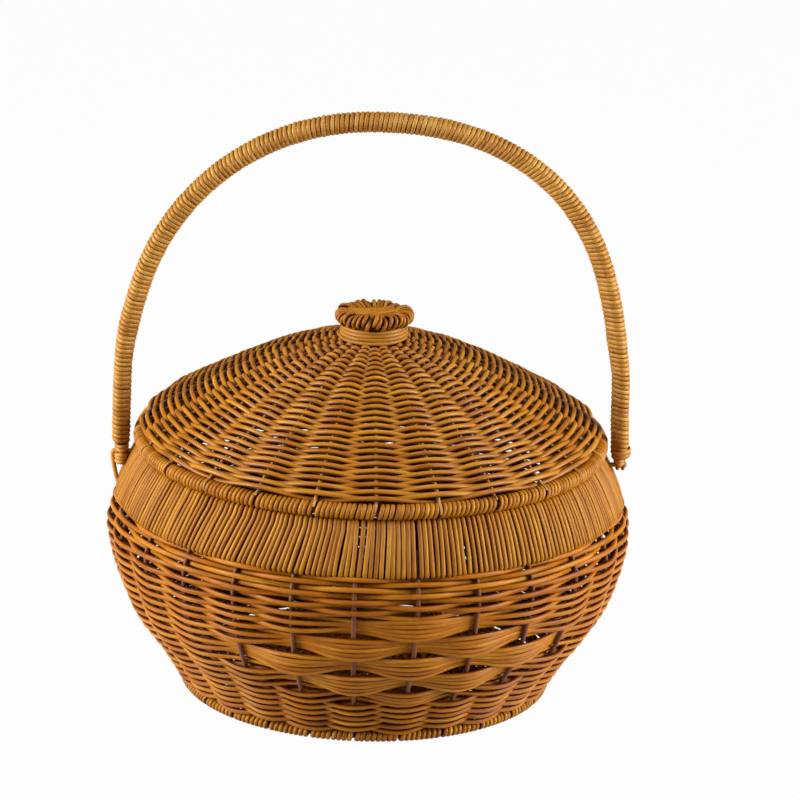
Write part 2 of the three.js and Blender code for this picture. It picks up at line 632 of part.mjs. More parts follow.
// Knob: a core, a strand wound round its neck, and a button of loops wound round a ring
function buildKnob() {
  const foot = HUB_TOP_Z + GAP;
  const lidTop = dome.offset(NECK_RADIUS, 'x', LID_HALF).y;
  const windR = NECK_CORE_R + GAP + NECK_STRAND_D / 2;
  const windZ = lidTop + GAP + NECK_STRAND_D / 2;
  const windTop = windZ + NECK_PITCH * NECK_TURNS;
  const tuckR = windR - 2 * NECK_STRAND_D;
  const turnEnds = [0.008, 0.024];
  const turns = [
    ...turnEnds,
    ...levels(0, NECK_TURNS, NECK_TURNS * KNOB_FACETS).slice(1, -1),
    ...turnEnds.map((t) => NECK_TURNS - t).reverse(),
  ];
  const wind = turns.map((turn, i) => {
    const ease = i === 0 || i === turns.length - 1 ? GAP : 0;
    return around(Math.PI + 2 * Math.PI * turn, windR - ease, windZ + NECK_PITCH * turn);
  });
  wind.unshift(around(Math.PI, tuckR, windZ), around(Math.PI, tuckR + NECK_STRAND_D, windZ));
  wind.push(around(Math.PI, tuckR + NECK_STRAND_D, windTop), around(Math.PI, tuckR, windTop));
  addPiece(lid, 'knob_neck_winding', rod(wind, NECK_STRAND_D / 2, 5), honey());
  report('knob neck', wind, NECK_STRAND_D);

  const coreTop = windTop + NECK_STRAND_D / 2 + GAP;
  const core = new THREE.LatheGeometry([
    new THREE.Vector2(0, foot),
    new THREE.Vector2(NECK_CORE_R, foot),
    new THREE.Vector2(NECK_CORE_R, coreTop),
    new THREE.Vector2(0, coreTop),
  ], KNOB_FACETS).rotateX(Math.PI / 2);
  const pockets = [windZ, windTop].map((z) => {
    const line = [around(Math.PI, tuckR - GAP, z), around(Math.PI, windR + 2, z)];
    return toManifold(rod(line, NECK_STRAND_D, 6));
  });
  addPiece(lid, 'knob_core', cut(core, pockets), coreBrown());

  const loopSteps = 7;
  const loopR = (BUTTON_CORE_R + GAP) / Math.cos(Math.PI / loopSteps) + BUTTON_STRAND_D / 2;
  const ringR = BUTTON_RADIUS - loopR - BUTTON_STRAND_D / 2;
  const ringZ = coreTop + GAP + loopR + BUTTON_STRAND_D / 2;
  addPiece(lid, 'knob_ring', ringTube(ringR, ringZ, BUTTON_CORE_R, 5, KNOB_FACETS + 4), coreBrown());
  const plugR = ringR - loopR - BUTTON_STRAND_D / 2 - GAP;
  const span = THREE.MathUtils.degToRad(347);
  const loops = levels(0, BUTTON_TURNS, Math.round(BUTTON_TURNS * loopSteps)).map((turn) => {
    const a = Math.PI - 2 * Math.PI * turn;
    return around((span * turn) / BUTTON_TURNS, ringR + loopR * Math.cos(a), ringZ + loopR * Math.sin(a));
  });
  loops.unshift(around(0, ringR - loopR, coreTop + GAP));
  loops.push(around(span, plugR + GAP, ringZ - loopR));
  addPiece(lid, 'knob_button_winding', rod(loops, BUTTON_STRAND_D / 2, 5), honey());
  report('knob button', loops, BUTTON_STRAND_D);

  const plugTop = ringZ + loopR - BUTTON_DIP;
  const plug = new THREE.LatheGeometry([
    new THREE.Vector2(0, coreTop + GAP),
    new THREE.Vector2(plugR, coreTop + GAP),
    new THREE.Vector2(plugR, plugTop - BUTTON_DIP),
    new THREE.Vector2(plugR * 0.6, plugTop),
    new THREE.Vector2(0, plugTop - BUTTON_DIP / 2),
  ], KNOB_FACETS).rotateX(Math.PI / 2);
  addPiece(lid, 'knob_centre_weave', plug, honey());
}

buildFoot();
buildStakes();
buildWall();
buildCollar();
buildPivots();
buildHandle();
buildLid();
buildKnob();

export default basket;
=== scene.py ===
import json
import math

import bmesh
import bpy
import numpy as np
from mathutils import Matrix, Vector


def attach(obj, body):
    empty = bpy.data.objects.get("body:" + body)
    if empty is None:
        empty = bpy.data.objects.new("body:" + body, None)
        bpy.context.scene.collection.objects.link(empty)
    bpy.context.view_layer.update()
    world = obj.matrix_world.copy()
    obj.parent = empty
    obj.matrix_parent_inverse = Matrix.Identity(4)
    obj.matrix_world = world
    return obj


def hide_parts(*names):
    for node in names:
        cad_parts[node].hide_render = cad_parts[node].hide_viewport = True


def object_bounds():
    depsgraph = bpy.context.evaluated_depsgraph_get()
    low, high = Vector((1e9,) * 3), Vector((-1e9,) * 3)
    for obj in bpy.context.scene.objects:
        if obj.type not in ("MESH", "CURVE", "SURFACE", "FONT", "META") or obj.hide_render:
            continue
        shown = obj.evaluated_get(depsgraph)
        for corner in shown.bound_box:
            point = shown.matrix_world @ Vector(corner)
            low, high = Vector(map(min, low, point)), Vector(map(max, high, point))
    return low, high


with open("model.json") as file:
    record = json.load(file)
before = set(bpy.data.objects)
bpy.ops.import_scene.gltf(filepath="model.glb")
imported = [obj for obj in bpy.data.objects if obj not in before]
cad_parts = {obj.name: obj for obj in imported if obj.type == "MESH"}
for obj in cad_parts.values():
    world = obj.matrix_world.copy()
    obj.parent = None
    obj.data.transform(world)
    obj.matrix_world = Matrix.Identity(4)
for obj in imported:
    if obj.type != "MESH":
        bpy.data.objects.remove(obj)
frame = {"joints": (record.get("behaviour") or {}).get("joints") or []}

CAD_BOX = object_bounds()

# Sizes, in millimetres, and angles, in radians
MM = 0.001
TURN = 2 * math.pi
GAP = 0.3
TINY = 1e-6
RING_RIPPLE = 0.05
WRAP_WANDER = 0.05

# Stakes and woven wall
STAKES = 26
STEP = TURN / STAKES
PATTERN_AZIMUTH = math.radians(11.3)
STAKE_R = 1.3
STAKE_TOP_Z = 126.5
STRAND_R = 1.66
STRAND_FLAT = 0.8
SWING = STAKE_R + STRAND_R * STRAND_FLAT
ROW_RIPPLE = 0.12
ROW_WANDER = 0.18
FOOT_TOP_Z = 6.4
STAKE_FOOT_Z = FOOT_TOP_Z + 0.2
LOWER_FOOT_Z = FOOT_TOP_Z + 1.0
LOWER_TOP_Z = 26.4
LOWER_ROWS = 9
COURSES = 5
COURSE_RISE = 12.55
ROWS_PER_COURSE = 5
PLAIN_ROWS = 2
PATTERN_TOP_Z = LOWER_TOP_Z + COURSES * COURSE_RISE
# Stakes that each course covers on both sides of the middle one, from the top down
PATTERN_REACH = [1, 2, 3, 2, 1]
OVER_SPREAD = 1.16
UNDER_SQUEEZE = 0.66
UPPER_ROWS = 8
COLLAR_FOOT_Z = 112.4

# Collar
MOUTH_RADIUS = 131.0
MOUTH_Z = 138.8
TOP_ROLL_R = 3.4
HOOP_R = 1.3
# Choices for the number of wraps between two stakes
COLLAR_WRAPS = [11, 11, 11, 12]
COLLAR_WRAP_R = 1.46
COLLAR_WRAP_FLAT = 0.86
COLLAR_SKIN = 1.1
COLLAR_CLEAR = 0.2
COLLAR_HEM = 0.9
COLLAR_SHOULDER = 3.6
COLLAR_ROLL_END = 0.35
# Points of the underside: how far out of the stakes and how high
COLLAR_UNDERSIDE = [(-3.6, 0.0), (-1.2, -0.2), (1.4, 0.0)]
COLLAR_FILL = 0.983
COLLAR_SWAY = 0.0018
COLLAR_BOW = 0.001
COLLAR_WRAP_VARIETY = 0.05
# Swells in the lean of the wraps: size, azimuth of the middle and width
COLLAR_LEANS = [(0.046, -0.5, 0.42), (0.02, -1.2, 0.4)]

# Foot and base panel
FOOT_RADIUS = 103.4
FOOT_Z = 3.35
FOOT_TALL = 2.45
FOOT_WIDE = 3.0
FOOT_WRAPS = 8
FOOT_WRAP_R = 1.5
FOOT_WRAP_FLAT = 0.62
FOOT_FILL = 0.95
FOOT_WRAP_SLANT = 0.006
FOOT_CORE_R = 1.6
BASE_RADIUS = 99.0
BASE_EDGE_Z = 3.9
BASE_CROWN = 2.0
BASE_CROWN_RADIUS = 99.9
BASE_SPOKE_STARTS = [24, 6]
BASE_ROW_R = 1.58
BASE_ROW_PITCH = 2.75
BASE_ROW_START = 15.0
BASE_ROW_SWING = 2.1
BASE_FULL_SWING_R = 40
BASE_ROW_WANDER = 0.1
BASE_BAR_R = 1.4
BASE_BAR_PITCH = 3.6
BASE_BAR_HALF = 15

# Lid
RIBS = 24
RIB_STEP = TURN / RIBS
RIB_AZIMUTH = math.radians(2)
RIB_R = 1.1
RIB_WANDER = 0.003
RIB_BEND_START = math.pi * 0.52
RIB_END_ANGLES = [0.9, 0.5, -0.3]
RIB_END_THIN = (0.8, 0.55)
LID_STRAND_R = 1.54
LID_FLAT = 0.88
LID_ROW_PITCH = 2.42
LID_ROW_START = -0.4
LID_ROW_WANDER = 0.2
LID_ROW_RIPPLE = 0.1
LID_ROW_VARIETY = 0.04
LID_EYE_R = 18.6
LID_RIM_RADIUS = 131.6
LID_RIM_Z = 146.88
LID_RIM_R = 4.4
RIM_SECTION_R = 3.55
RIM_WRAPS = 12
RIM_WRAP_R = 1.42
RIM_WRAP_FLAT = 0.75
RIM_FILL = 0.955
RIM_WRAP_SLANT = 0.0075
RIM_CORE_R = 2.6

# Knob
NECK_R = 18.0
NECK_FOOT_Z = 207.6
NECK_TURNS = 4.4
NECK_PITCH = 2.05
NECK_STRAND_R = 1.12
NECK_FLARE = 1.3
NECK_FLARE_RISE = 2.4
NECK_RIPPLE = 0.12
STEM_R = 16.9
STEM_FOOT_Z = 204
STEM_HEIGHT = 14
BUTTON_RING_R = 18.4
BUTTON_RING_Z = 220.2
BUTTON_RING_HALF = 2.0
BUTTON_TALL = 3.1
BUTTON_WIDE = 3.4
BUTTON_TIP = 0.05
BUTTON_PINCH = 1.6
BUTTON_SLANT = 0.05
BUTTON_SPACE_WANDER = 0.12
BUTTON_SIZE_WANDER = 0.003
BUTTON_LEAN_WANDER = 0.01
BUTTON_LOOPS = 42
BUTTON_STRAND_R = 1.2
BUTTON_FLAT = 0.9
CENTRE_REACH = 15.6
CENTRE_PITCH = 3.9
CENTRE_ANGLES = [0.3, 1.35, 2.4]
CENTRE_LEAST_HALF = 3.0
CENTRE_RISE = 2.0
CENTRE_HOLLOW = 1.6
CENTRE_WANDER = 0.4
CENTRE_STRAND_R = 1.4

# Handle and ears
HANDLE_HALF_SPAN = 143.6
HANDLE_SPRING_Z = 182.0
HANDLE_FOOT_Z = 138.6
HANDLE_CROWN_HALF = 5.9
OVERALL_HEIGHT = round(CAD_BOX[1][2] / MM, 1)
ARCH_POWER = 2.06
ARCH_POWER_RIGHT = 2.28
ARCH_SMOOTHING = 12
# Heights on each leg, and how far it leans in from the plain arch there
LEFT_LEAN = ([138, 160, 190, 225, 265, 300, 340], [-0.4, -0.3, 0.1, 1.6, 0.6, 0.2, 0])
RIGHT_LEAN = ([150, 162, 188, 206, 235, 268, 300, 340], [0, 0.9, 0.9, 3.2, 3.4, 1.8, 0.4, 0])
# Heights, and the size of the handle's section there
FULLNESS = ([138, 146, 190, 206, 340], [1.0, 1.12, 1.12, 1.24, 1.24])
HANDLE_ROD_R = 1.65
HANDLE_ROD_CLEAR = 0.15
HANDLE_TILT = math.radians(20)
HANDLE_WRAP_PITCH = 2.7
HANDLE_WRAP_R = 1.5
HANDLE_WRAP_FLAT = 0.62
HANDLE_WRAP_LIFT = 0.75
HANDLE_WRAP_END = 1.8
HANDLE_WRAP_LEAN = (0.8, 0.25)
HANDLE_WRAP_WANDER = 0.06
HANDLE_WRAP_VARIETY = 0.04
HANDLE_BUNDLE_VARIETY = 0.01
HANDLE_ROD_END = 0.3
SLEEVE_X = 143.1
SLEEVE_BACK = 5.0
SLEEVE_EAR_CLEAR = 2.4
SLEEVE_THICKNESS = 0.95
# Side, half width and heights of the bindings below each foot
SLEEVES = [(-1, 3.35, (138.0, 135.6, 133.3, 131.0, 128.8)), (1, 2.5, (138.2, 136.0))]
KNOT_X = 144.0
KNOT_HEIGHTS = (140.6, 143.0)
KNOT_HALF = (4.75, 5.3)
KNOT_SLANT = 0.8
KNOT_THICKNESS = 1.05
SWING_AXIS = next(joint["pos_m"] for joint in frame["joints"] if joint["name"] == "handle_swing")
PIVOT_Z = round(SWING_AXIS[2] / MM, 1)
EAR_R = 1.3
EAR_OFF_STAKE = 1.8
EAR_REACH = 148.3
EAR_FOOT_Z = 118.0
# Side, its word and the radius of the strand round each ear
EYE_LOOPS = [(-1, "left", 1.1), (1, "right", 0.85)]
EYE_LOOP_PITCH = 3.0
EYE_LOOP_TURNS = 1.5
EYE_LOOP_CLEAR = 0.25

rng = np.random.default_rng(23)


# Lines
def around(azimuth, radius, z):
    """Points at an azimuth from the front, a radius and a height."""
    azimuth, radius, z = np.broadcast_arrays(azimuth, radius, z)
    return np.stack([radius * np.sin(azimuth), -radius * np.cos(azimuth), z], -1)


def smooth_line(points, per_span):
    """A Catmull-Rom line through the points."""
    p = np.asarray(points, float)
    last = len(p) - 1
    out = []
    for i in range(last):
        p0, p1, p2, p3 = p[max(i - 1, 0)], p[i], p[i + 1], p[min(i + 2, last)]
        t = np.linspace(0, 1, per_span, endpoint=False)[:, None]
        v0 = (p2 - p0) * 0.5
        v1 = (p3 - p1) * 0.5
        bend = (2 * p1 - 2 * p2 + v0 + v1) * t**3
        out.append(bend + (-3 * p1 + 3 * p2 - 2 * v0 - v1) * t**2 + v0 * t + p1)
    out.append(p[-1:])
    return np.concatenate(out)


def run_length(line):
    """Length along a line at each of its points."""
    step = np.linalg.norm(np.diff(line, axis=0), axis=1)
    return np.concatenate([[0], np.cumsum(step)])


class Profile:
    """A meridian line of points (r, z). Each look-up gives r, z and the outward normal's r and z."""

    def __init__(self, points):
        self.line = smooth_line(points, 40)
        self.length = run_length(self.line)
        along = np.gradient(self.line, axis=0)
        along /= np.linalg.norm(along, axis=1)[:, None]
        self.normal = np.stack([along[:, 1], -along[:, 0]], 1)

    def at_length(self, s):
        point = [np.interp(s, self.length, self.line[:, k]) for k in (0, 1)]
        normal = [np.interp(s, self.length, self.normal[:, k]) for k in (0, 1)]
        return point[0], point[1], normal[0], normal[1]

    def at_height(self, z):
        return self.at_length(np.interp(z, self.line[:, 1], self.length))


WALL = Profile(
    [(103.4, 4.5), (116.8, 27), (136.4, 56), (147.0, 93), (143.2, 111), (137.4, 126.5), (131, 138.8)]
)
DOME = Profile([(130, 152.6), (118, 161.5), (73.5, 186), (44, 198.2), (16.7, 205.3)])


def set_off(azimuth, where, offset):
    """Points at an offset along the outward normal from the places that a profile gave."""
    r, z, nr, nz = where
    return around(azimuth, r + nr * offset, z + nz * offset)


def skin_section(where, offset):
    """The same as points (r, z) of a meridian section."""
    r, z, nr, nz = where
    return np.stack([r + nr * offset, z + nz * offset], 1)


def waves(azimuth, size, terms=(2, 3, 5, 7)):
    """A slow wander around a ring, so that no strand is perfectly round or level."""
    total = np.zeros_like(azimuth)
    for n in terms:
        total += rng.normal(0, size / len(terms) ** 0.5) * np.cos(n * azimuth + rng.uniform(0, TURN))
    return total


def ring(radius, z, steps=180):
    """A hoop that is very slightly out of round."""
    azimuth = np.arange(steps) * TURN / steps
    return around(azimuth, radius + waves(azimuth, RING_RIPPLE), z)


def spread(counts, step, start, fill):
    """Azimuths of wraps, a count of them in each bay between stakes or ribs, filling a share of it."""
    found = []
    for i, count in enumerate(counts):
        share = (np.arange(count) + 0.5) / count - 0.5
        share = share * fill + rng.normal(0, WRAP_WANDER / count, count)
        found.append(start + (i + 0.5 + share) * step)
    return np.concatenate(found)


def tube_section(radius, z, tall, wide, steps):
    """An oval section of points (r, z) round a ring, and the angle of each point."""
    turn = np.arange(steps) * TURN / steps
    return np.stack([radius + wide * np.cos(turn), z + tall * np.sin(turn)], 1), turn


def meridian_loop(azimuth, section, lean):
    """A closed loop that follows a section, turned by a lean at each point, with its outward normals."""
    centre = section.mean(0)
    following = np.roll(section, -1, axis=0) - np.roll(section, 1, axis=0)
    following /= np.linalg.norm(following, axis=1)[:, None]
    normal = np.stack([following[:, 1], -following[:, 0]], 1)
    if ((section - centre) * normal).sum() < 0:
        normal = -normal
    turned = azimuth + lean
    return around(turned, section[:, 0], section[:, 1]), around(turned, normal[:, 0], normal[:, 1])


def wrapped_ring(azimuths, section, turn, slant):
    """Wraps round a ring at the azimuths, slanting from the lower edge to the upper."""
    return zip(*[meridian_loop(azimuth, section, slant * np.sin(turn)) for azimuth in azimuths])


# Strands made into meshes
def swept_mesh(name, lines, radius, closed, sides, radii):
    """A mesh of one tube per line, with caps on open ones.

    The points of the caps come before those of the tubes, with the caps of the last line first.
    """
    curve = bpy.data.curves.new(name, "CURVE")
    curve.dimensions = "3D"
    curve.bevel_depth = radius * MM
    curve.bevel_resolution = (sides - 4) // 2
    curve.use_fill_caps = not closed
    curve.twist_mode = "MINIMUM"
    for k, line in enumerate(lines):
        spline = curve.splines.new("POLY")
        spline.points.add(len(line) - 1)
        spline.points.foreach_set("co", np.hstack([line * MM, np.ones((len(line), 1))]).ravel())
        if radii is not None:
            spline.points.foreach_set("radius", np.asarray(radii[k], float))
        spline.use_cyclic_u = closed
    source = bpy.data.objects.new(name + "_line", curve)
    bpy.context.scene.collection.objects.link(source)
    graph = bpy.context.evaluated_depsgraph_get()
    mesh = bpy.data.meshes.new_from_object(source.evaluated_get(graph))
    bpy.data.objects.remove(source)
    bpy.data.curves.remove(curve)
    return mesh


def strands(
    name, body, material, lines, radius, nodes=(),
    closed=True, sides=8, normals=None, flat=1.0, radii=None,
):
    """One piece from many strands. Closed strands may be pressed flat along their normals."""
    mesh = swept_mesh(name, lines, radius, closed, sides, radii)
    total = len(mesh.vertices)
    co = np.zeros(total * 3)
    mesh.vertices.foreach_get("co", co)
    place = co.reshape(-1, 3)

    # The material reads a tone for each strand, a crest value, 1 on its crest, that sets the painted
    # shade on its sides, and its round and length for the grain
    tint = np.zeros(total, np.float32)
    crest = np.ones(total, np.float32)
    cane = np.zeros((total, 3), np.float32)
    grain_along, grain_apart = 0.1, 7.31
    angle = np.arange(sides) * TURN / sides
    caps = total - sum(len(line) for line in lines) * sides
    start = caps
    ends = []
    for k, line in enumerate(lines):
        stop = start + len(line) * sides
        tint[start:stop] = rng.random()
        block = np.empty((len(line), sides, 3), np.float32)
        block[..., 0] = np.cos(angle)
        block[..., 1] = np.sin(angle)
        block[..., 2] = (run_length(line) * grain_along + k * grain_apart)[:, None]
        cane[start:stop] = block.reshape(-1, 3)
        if normals is not None:
            centre = np.repeat(line * MM, sides, axis=0)
            normal = np.repeat(normals[k], sides, axis=0)
            away = ((place[start:stop] - centre) * normal).sum(1)
            place[start:stop] -= normal * (away * (1 - flat))[:, None]
            reach = np.linalg.norm(place[start:stop] - centre, axis=1)
            crest[start:stop] = away / np.maximum(reach, TINY)
        ends.append((start, stop))
        start = stop

    # A cap's points take what the nearest points of its strand's end have
    for k in range(caps // sides):
        first, last = ends[len(lines) - 1 - k // 2]
        rim = last - sides if k % 2 == 0 else first
        here = slice(k * sides, (k + 1) * sides)
        away = np.linalg.norm(place[here][:, None] - place[rim : rim + sides][None], axis=2)
        nearest = rim + away.argmin(1)
        for values in (tint, crest, cane):
            values[here] = values[nearest]

    mesh.vertices.foreach_set("co", place.ravel())
    mesh.attributes.new("tint", "FLOAT", "POINT").data.foreach_set("value", tint)
    mesh.attributes.new("crest", "FLOAT", "POINT").data.foreach_set("value", crest)
    mesh.attributes.new("cane", "FLOAT_VECTOR", "POINT").data.foreach_set("vector", cane.ravel())
    if caps:
        work = bmesh.new()
        work.from_mesh(mesh)
        bmesh.ops.remove_doubles(work, verts=work.verts, dist=TINY)
        work.to_mesh(mesh)
        work.free()
    mesh.update()
    mesh.shade_smooth()
    piece = bpy.data.objects.new(name, mesh)
    bpy.context.scene.collection.objects.link(piece)
    mesh.materials.clear()
    mesh.materials.append(material)
    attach(piece, body)
    if nodes:
        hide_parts(*nodes)
    return piece


# Materials
def srgb(r, g, b):
    def lin(c):
        c /= 255
        return c / 12.92 if c <= 0.04045 else ((c + 0.055) / 1.055) ** 2.4

    return (lin(r), lin(g), lin(b), 1.0)


# Painted shade: a dark colour for the sides of strands, in the gaps between them, where shade falls.
PAINTED_GAP_SHADE = srgb(94, 36, 3)


def cane_group():
    """Colour, roughness and height of a cane: tone, streaks, patches, specks, and painted shade on its
    sides where strands meet.
    """
    group = bpy.data.node_groups.new("cane_surface", "ShaderNodeTree")
    face = group.interface
    for name in ("Light", "Middle", "Dark", "Painted Shade"):
        face.new_socket(name, in_out="INPUT", socket_type="NodeSocketColor")
    face.new_socket("Color", in_out="OUTPUT", socket_type="NodeSocketColor")
    face.new_socket("Roughness", in_out="OUTPUT", socket_type="NodeSocketFloat")
    face.new_socket("Height", in_out="OUTPUT", socket_type="NodeSocketFloat")
    nodes, links = group.nodes, group.links
    given = nodes.new("NodeGroupInput")
    out = nodes.new("NodeGroupOutput")

    def attribute(name):
        node = nodes.new("ShaderNodeAttribute")
        node.attribute_name = name
        return node

    def noise(vector, stretch, detail=2.0):
        shape = nodes.new("ShaderNodeVectorMath")
        shape.operation = "MULTIPLY"
        links.new(vector, shape.inputs[0])
        shape.inputs[1].default_value = stretch
        node = nodes.new("ShaderNodeTexNoise")
        node.inputs["Scale"].default_value = 1.0
        node.inputs["Detail"].default_value = detail
        links.new(shape.outputs[0], node.inputs["Vector"])
        return node.outputs["Fac"]

    def ramp(value, low, high):
        node = nodes.new("ShaderNodeMapRange")
        node.inputs["From Min"].default_value = low
        node.inputs["From Max"].default_value = high
        links.new(value, node.inputs["Value"])
        return node.outputs["Result"]

    def math_node(operation, a, b):
        node = nodes.new("ShaderNodeMath")
        node.operation = operation
        for socket, value in zip(node.inputs, (a, b)):
            if isinstance(value, (int, float)):
                socket.default_value = value
            else:
                links.new(value, socket)
        return node.outputs[0]

    def blend(a, share_a, b, share_b):
        return math_node("ADD", math_node("MULTIPLY", a, share_a), math_node("MULTIPLY", b, share_b))

    def mix(factor, a, b):
        node = nodes.new("ShaderNodeMix")
        node.data_type = "RGBA"
        links.new(factor, node.inputs[0])
        links.new(a, node.inputs[6])
        links.new(b, node.inputs[7])
        return node.outputs[2]

    cane = attribute("cane").outputs["Vector"]
    tint = attribute("tint").outputs["Fac"]
    crest = attribute("crest").outputs["Fac"]
    streak = noise(cane, (2.2, 2.2, 0.8), 3.0)
    patch = noise(cane, (0.25, 0.25, 0.55))
    speck = noise(cane, (3.0, 3.0, 9.0))
    tone = blend(tint, 0.55, ramp(patch, 0.3, 0.7), 0.45)
    body = mix(ramp(tone, 0.05, 0.95), given.outputs["Dark"], given.outputs["Light"])
    lined = mix(ramp(streak, 0.42, 0.62), body, given.outputs["Middle"])
    specked = mix(ramp(speck, 0.62, 0.78), lined, given.outputs["Dark"])
    # Painted shade: away from its crest, each strand darkens to the painted shade colour on its sides.
    links.new(mix(ramp(crest, 0.1, 0.9), given.outputs["Painted Shade"], specked), out.inputs["Color"])
    links.new(math_node("ADD", math_node("MULTIPLY", streak, 0.22), 0.3), out.inputs["Roughness"])
    links.new(blend(streak, 0.7, speck, 0.3), out.inputs["Height"])
    return group


CANE = cane_group()


def cane_material(name, light, middle, dark, bump=0.25, coat=0.05, gloss=0.15):
    """A cane finish, from its lightest, middle and darkest colour."""
    material = bpy.data.materials.new(name)
    material.use_nodes = True
    nodes, links = material.node_tree.nodes, material.node_tree.links
    shader = nodes["Principled BSDF"]
    surface = nodes.new("ShaderNodeGroup")
    surface.node_tree = CANE
    surface.inputs["Light"].default_value = srgb(*light)
    surface.inputs["Middle"].default_value = srgb(*middle)
    surface.inputs["Dark"].default_value = srgb(*dark)
    # The painted shade colour for the sides of the strands.
    surface.inputs["Painted Shade"].default_value = PAINTED_GAP_SHADE
    links.new(surface.outputs["Color"], shader.inputs["Base Color"])
    links.new(surface.outputs["Roughness"], shader.inputs["Roughness"])
    lift = nodes.new("ShaderNodeBump")
    lift.inputs["Strength"].default_value = bump
    lift.inputs["Distance"].default_value = 0.0004
    links.new(surface.outputs["Height"], lift.inputs["Height"])
    links.new(lift.outputs["Normal"], shader.inputs["Normal"])
    shader.inputs["Specular IOR Level"].default_value = gloss
    shader.inputs["Coat Weight"].default_value = coat
    shader.inputs["Coat Roughness"].default_value = 0.28
    return material


woven = cane_material("woven_cane", (217, 151, 34), (184, 102, 5), (132, 62, 3))
binding = cane_material("binding_cane", (208, 147, 38), (174, 106, 12), (128, 67, 5))
lid_cane = cane_material("lid_cane", (216, 154, 36), (184, 110, 6), (134, 67, 4), gloss=0.3)
trim_cane = cane_material("trim_cane", (214, 150, 28), (176, 102, 4), (124, 60, 2), gloss=0.22)
handle_cane = cane_material("handle_cane", (222, 172, 84), (194, 132, 40), (148, 84, 14), gloss=0.28)
stake_bark = cane_material("stake_bark", (150, 98, 72), (132, 82, 58), (110, 64, 44), 0.4, 0.0)
core_bark = cane_material("core_bark", (122, 76, 44), (100, 58, 32), (80, 44, 24), 0.4, 0.0)
rib_cane = cane_material("rib_cane", (222, 178, 116), (202, 148, 86), (166, 108, 56))


# Stakes
def build_stakes():
    heights = np.linspace(STAKE_FOOT_Z, STAKE_TOP_Z, 40)
    lines = [set_off(PATTERN_AZIMUTH + i * STEP, WALL.at_height(heights), 0) for i in range(STAKES)]
    nodes = [f"stake_{i + 1:02d}" for i in range(STAKES)]
    strands("stakes", "basket", stake_bark, lines, STAKE_R, nodes, closed=False)


# Woven wall
# Number of each stake, counted both ways from the one in the middle of the pattern
NEAR = np.array([i - STAKES if i > STAKES // 2 else i for i in range(STAKES)])


def plain_signs(row):
    """1 at the stakes that a row of plain weave passes in front of, -1 at the ones between them."""
    return np.where((NEAR + row) % 2 == 0, 1.0, -1.0)


def weave_row(z, signs, scale, centre):
    """One row all the way round: out over a stake where its sign is 1, in behind it where it is -1.

    The scale at each stake spreads the row away from a centre height or draws it in.
    """
    per_stake = 10
    s = np.arange(STAKES * per_stake) / per_stake
    k = s.astype(int)
    f = s - k
    ease = (1 - np.cos(math.pi * f)) / 2

    def between(values):
        return values[k] * (1 - ease) + values[(k + 1) % STAKES] * ease

    azimuth = PATTERN_AZIMUTH + s * STEP
    offset = between(signs) * SWING + waves(azimuth, ROW_RIPPLE, (26, 31, 17, 9))
    height = centre + (z - centre) * between(scale) + waves(azimuth, ROW_WANDER, (3, 8, 13, 21))
    where = WALL.at_height(height)
    return set_off(azimuth, where, offset), around(azimuth, where[2], where[3])


def weave(name, rows, nodes):
    lines, normals = zip(*rows)
    strands(
        name, "basket", woven, lines, STRAND_R, nodes, normals=normals, flat=STRAND_FLAT
    )


def build_plain_zone(name, node, bottom, top, count, first):
    """Rows of plain weave between two heights. The first one's number sets which stakes it hides."""
    rows = []
    for j in range(count):
        z = bottom + (top - bottom) * (j + 0.5) / count
        rows.append(weave_row(z, plain_signs(first + j), np.ones(STAKES), z))
    weave(name, rows, [node])


def build_pattern_zone(first):
    """Plain weave with the diamond in it: courses of rows that pass over and under a stake together."""
    rows = []
    for course in reversed(range(COURSES)):
        bottom = LOWER_TOP_Z + (COURSES - 1 - course) * COURSE_RISE
        over = (NEAR + course) % 2 == 0
        plain_rows = PLAIN_ROWS if course == COURSES - 1 else 0
        middle = bottom + COURSE_RISE * (0.5 + plain_rows / (2 * ROWS_PER_COURSE))
        for j in range(ROWS_PER_COURSE):
            inside = np.abs(NEAR) <= (-1 if j < plain_rows else PATTERN_REACH[course])
            z = bottom + COURSE_RISE * (j + 0.5) / ROWS_PER_COURSE
            signs = plain_signs(first + len(rows))
            signs[inside] = np.where(over[inside], 1.0, -1.0)
            scale = np.where(inside, np.where(over, OVER_SPREAD, UNDER_SQUEEZE), 1.0)
            rows.append(weave_row(z, signs, scale, middle))
    weave("middle_rows", rows, ["middle_weave"] + [f"pattern_course_{i + 1}" for i in range(COURSES)])


def build_wall():
    pattern_rows = COURSES * ROWS_PER_COURSE
    build_plain_zone("lower_rows", "lower_weave", LOWER_FOOT_Z, LOWER_TOP_Z, LOWER_ROWS, 0)
    build_pattern_zone(LOWER_ROWS)
    build_plain_zone(
        "upper_rows", "upper_weave", PATTERN_TOP_Z, COLLAR_FOOT_Z, UPPER_ROWS, LOWER_ROWS + pattern_rows
    )


